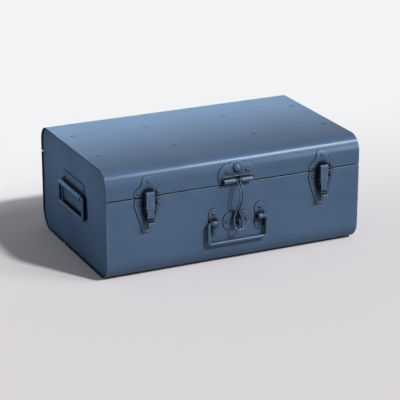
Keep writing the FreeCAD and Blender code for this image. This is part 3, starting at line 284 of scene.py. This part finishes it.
def paint(name, colour, rough=0.40, gloss=0.22, edge=0.0028, wear_and_highlight=0.6, reach=0.004, closed=0.35,
          wave=0.0, wells=0.0, rolled=0.0, seam_shade_height=None, cut_ends=False):
    """Satin enamel over sheet metal, lighter at its edges from wear and a painted highlight, with painted
    shade in its corners.
    """
    material, nodes, links, shader = new_material(name)
    coords = add_node(nodes, "ShaderNodeTexCoord")
    place = coords.outputs["Object"]
    body = body_colour(nodes, links, place, colour, rolled)
    # lighter colour along edges, in patches: wear and a painted highlight
    patches = noise(nodes, links, place, RUB_AND_HIGHLIGHT_NOISE)
    patches = spread(nodes, links, patches, *RUB_AND_HIGHLIGHT_RANGE, LEAST_RUB_AND_HIGHLIGHT * wear_and_highlight, wear_and_highlight)
    rub_and_highlight = math_node(nodes, links, "MULTIPLY", edge_share(nodes, links, edge), patches)
    rubbed_and_highlit = mix_colour(nodes, links, rub_and_highlight, body, PAINT_WORN_AND_HIGHLIT)
    # painted shade where the surface lies closed in, in corners and under and beside plates
    unshaded = open_share(nodes, links, reach, closed)
    # painted shade on the sheet's cut ends
    if cut_ends:
        unshaded = math_node(nodes, links, "MULTIPLY", unshaded, uncut_share(nodes, links))
    # painted shade in a thin band above the lid's lower edge, darkening the seam
    if seam_shade_height is not None:
        unshaded = math_node(nodes, links, "MULTIPLY", unshaded, above_share(nodes, links, place, seam_shade_height))
    links.new(mix_colour(nodes, links, unshaded, PAINTED_SHADE, rubbed_and_highlit), shader.inputs["Base Color"])
    smear = noise(nodes, links, place, SMEAR_NOISE)
    smear = spread(nodes, links, smear, *SMEAR_RANGE, rough - ROUGHNESS_DRIFT, rough + ROUGHNESS_DRIFT)
    links.new(smear, shader.inputs["Roughness"])
    tilted = relief(nodes, links, place, edge, wave, wells)
    links.new(tilted, shader.inputs["Normal"])
    links.new(tilted, shader.inputs["Coat Normal"])
    shader.inputs["Specular IOR Level"].default_value = 0.0
    shader.inputs["Coat Weight"].default_value = gloss
    shader.inputs["Coat Roughness"].default_value = COAT_ROUGHNESS
    return material


def dress_nodes():
    """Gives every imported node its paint."""
    lid = paint("paint_lid", PAINT, wear_and_highlight=0.8, closed=0.60, wave=0.0012, wells=0.0008, rolled=0.4,
                seam_shade_height=LID_EDGE, cut_ends=True)
    sheet = paint("paint_sheet", PAINT, wear_and_highlight=0.9, closed=0.60, wave=0.0010, cut_ends=True)
    # the ends and their hardware take the lightened paint, a painted light
    ends = paint("paint_ends", PAINT_ENDS_LIGHTENED, rough=0.50, gloss=0.05, wear_and_highlight=0.15, reach=0.008, closed=0.58,
                 wave=0.0010)
    inside = paint("paint_inside", PAINT_INSIDE, rough=0.48)
    # painted shade reaches further round the hardware and lies deepest on the levers' and links' flanks
    hardware = paint("paint_hardware", PAINT, rough=0.36, gloss=0.32, edge=0.0026, wear_and_highlight=0.7,
                     reach=0.020, closed=0.72)
    lever = paint("paint_lever", PAINT, rough=0.36, gloss=0.20, edge=0.0026, reach=0.020, closed=0.84)
    end_hardware = paint("paint_end_hardware", PAINT_ENDS_LIGHTENED, rough=0.50, gloss=0.04, edge=0.0026,
                         reach=0.020, closed=0.66)
    chosen = {
        "lid_wrapper": lid,
        "body_wrapper": sheet,
        "lid_stiffener_front": inside,
        "lid_stiffener_back": inside,
        "side_handle_rivets": end_hardware,
    }
    for side in ("front", "back", "left", "right"):
        chosen[f"rim_lip_{side}"] = inside
    for side in ("left", "right"):
        chosen[f"body_end_{side}"] = ends
        chosen[f"lid_end_{side}"] = ends
        chosen[f"latch_lever_{side}"] = lever
        chosen[f"latch_link_{side}"] = lever
        chosen[f"side_handle_plate_{side}"] = end_hardware
        chosen[f"side_handle_bail_{side}"] = end_hardware
    for name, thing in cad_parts.items():
        thing.data.materials.clear()
        thing.data.materials.append(chosen.get(name, hardware))


# Floor, light and camera

def floor():
    """A plain pale floor with a fine grain, with painted light that makes it paler towards the back, as in
    the photograph.
    """
    low, high = -FLOOR_REACH, FLOOR_REACH
    corners = [(low, low, 0), (high, low, 0), (high, high, 0), (low, high, 0)]
    mesh = bpy.data.meshes.new("floor")
    mesh.from_pydata(corners, [], [(0, 1, 2, 3)])
    thing = bpy.data.objects.new("floor", mesh)
    scene.collection.objects.link(thing)
    material, nodes, links, shader = new_material("floor_plain")
    coords = add_node(nodes, "ShaderNodeTexCoord")
    place = coords.outputs["Object"]
    grain = noise(nodes, links, place, GRAIN_NOISE)
    links.new(bump(nodes, links, grain, GRAIN_DEPTH, GRAIN_STRENGTH), shader.inputs["Normal"])
    # painted light: the floor grows paler towards the back
    paler = spread(nodes, links, axis(nodes, links, place, "Y"), PALER_FROM, PALER_TO)
    links.new(mix_colour(nodes, links, paler, FLOOR, FLOOR_FAR_LIGHTENED), shader.inputs["Base Color"])
    shader.inputs["Roughness"].default_value = FLOOR_ROUGHNESS
    shader.inputs["Specular IOR Level"].default_value = FLOOR_SPECULAR
    mesh.materials.append(material)


def sun_light(name, towards, power, width):
    """Even light from far off, its shadows softened by the lamp's apparent width in degrees."""
    lamp = bpy.data.lights.new(name, "SUN")
    lamp.energy = power
    lamp.angle = math.radians(width)
    thing = bpy.data.objects.new(name, lamp)
    thing.rotation_euler = Vector(towards).to_track_quat("Z", "Y").to_euler()
    scene.collection.objects.link(thing)
    return thing


def trunk_lamp(trunk, name, place, aim, power, size, colour=WHITE, beam=None):
    """A lamp for the trunk alone: a card that only gloss sees, or a narrow beam that gloss doesn't see."""
    lamp = bpy.data.lights.new(name, "AREA")
    lamp.shape = "RECTANGLE"
    lamp.size, lamp.size_y = size
    lamp.energy = power
    lamp.color = colour
    thing = bpy.data.objects.new(name, lamp)
    thing.location = place
    thing.rotation_euler = (Vector(aim) - Vector(place)).to_track_quat("-Z", "Y").to_euler()
    thing.visible_camera = False
    if beam is None:
        thing.visible_diffuse = False
    else:
        thing.visible_glossy = False
        lamp.spread = math.radians(beam)
    scene.collection.objects.link(thing)
    thing.light_linking.receiver_collection = trunk


def lights():
    """Two distant lamps at the front right, and small ones that follow the photograph's light."""
    key = sun_light("key", towards=(0.98, -1.53, 1.72), power=2.7, width=5.0)
    key.visible_glossy = False
    sun_light("second", towards=(1.60, -1.23, 1.48), power=1.05, width=24.0)
    trunk = bpy.data.collections.new("trunk_alone")
    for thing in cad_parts.values():
        trunk.objects.link(thing)
    trunk_lamp(trunk, "front_card", place=(1.42, -1.72, 0.90), aim=(0.15, -0.10, 0.15),
               power=45.0, size=(0.6, 0.8), colour=CARD_BLUE)
    trunk_lamp(trunk, "edge_card", place=(1.16, -1.12, 2.10), aim=(0.20, -0.14, 0.19),
               power=121.0, size=(0.9, 0.15), colour=EDGE_BLUE)
    trunk_lamp(trunk, "top_strip", place=(0.0, 0.19, 1.25), aim=(0.0, 0.19, 0.20),
               power=3.4, size=(1.1, 0.10), colour=STRIP_WARM, beam=36.0)
    trunk_lamp(trunk, "end_fill", place=(-0.85, -0.02, 0.50), aim=(-0.25, -0.02, 0.15),
               power=0.04, size=(0.3, 0.1), beam=22.0)


def studio():
    """Plain light from all round, with a pale background for the camera, gloss and glass."""
    world = bpy.data.worlds.new("studio")
    scene.world = world
    world.use_nodes = True
    nodes, links = world.node_tree.nodes, world.node_tree.links
    ambient = nodes["Background"]
    ambient.inputs["Color"].default_value = AMBIENT + (1.0,)
    ambient.inputs["Strength"].default_value = AMBIENT_STRENGTH
    seen = add_node(nodes, "ShaderNodeBackground", Color=BACKGROUND + (1.0,), Strength=1.0)
    path = add_node(nodes, "ShaderNodeLightPath")
    shown = path.outputs["Is Camera Ray"]
    for kind in ("Is Glossy Ray", "Is Transmission Ray"):
        shown = math_node(nodes, links, "MAXIMUM", shown, path.outputs[kind])
    blend = add_node(nodes, "ShaderNodeMixShader")
    links.new(shown, blend.inputs["Fac"])
    links.new(ambient.outputs["Background"], blend.inputs[1])
    links.new(seen.outputs["Background"], blend.inputs[2])
    links.new(blend.outputs["Shader"], nodes["World Output"].inputs["Surface"])


def camera():
    """The photograph's camera, turned to its target from its azimuth and elevation."""
    az, el = math.radians(AZIMUTH), math.radians(ELEVATION)
    back = Vector((math.sin(az) * math.cos(el), -math.cos(az) * math.cos(el), math.sin(el)))
    lens = bpy.data.cameras.new("photo_camera")
    lens.sensor_fit = "HORIZONTAL"
    lens.sensor_width = SENSOR
    lens.lens = SENSOR * FOCAL_PIXELS / FRAME_PIXELS
    lens.clip_end = FURTHEST_SEEN
    thing = bpy.data.objects.new("photo_camera", lens)
    thing.location = Vector(TARGET) + back * DISTANCE
    thing.rotation_euler = (-back).to_track_quat("-Z", "Y").to_euler()
    scene.collection.objects.link(thing)
    scene.camera = thing


dress_nodes()
floor()
lights()
studio()
camera()
